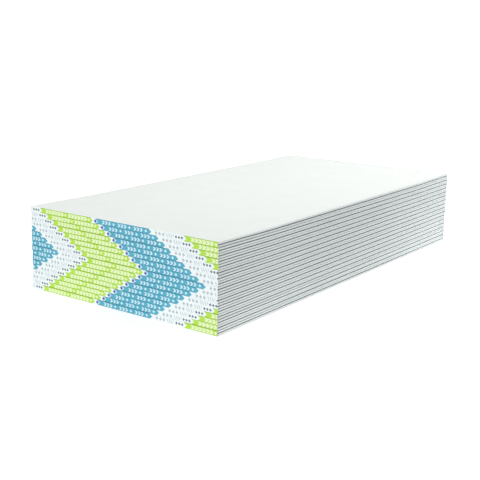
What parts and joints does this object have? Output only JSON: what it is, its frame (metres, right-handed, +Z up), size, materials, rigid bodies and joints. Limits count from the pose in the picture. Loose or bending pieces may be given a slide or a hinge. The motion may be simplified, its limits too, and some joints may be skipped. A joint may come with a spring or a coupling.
{
  "type": "drywall sheet stack",
  "caption": "Stack of paper-faced gypsum wallboard with tapered long edges, bound face to face in pairs by a printed paper tape folded over each end.",
  "frame": {"origin": "on the floor, under the middle of the stack", "axes": "+X across the sheets, +Y along the sheets from the front end to the rear end, +Z up"},
  "size_m": [1.223, 2.4432, 0.4385],
  "materials": {
    "board_paper": "uncoated pale grey liner paper, matt, folded round the long edges of a gypsum core",
    "tape_paper": "smooth white tape paper printed in blue and lime, satin"
  },
  "bodies": {
    "root": {"face_up_sheets": "board_paper", "face_down_sheets": "board_paper", "front_end_tapes": "tape_paper", "rear_end_tapes": "tape_paper"}
  },
  "joints": []
}
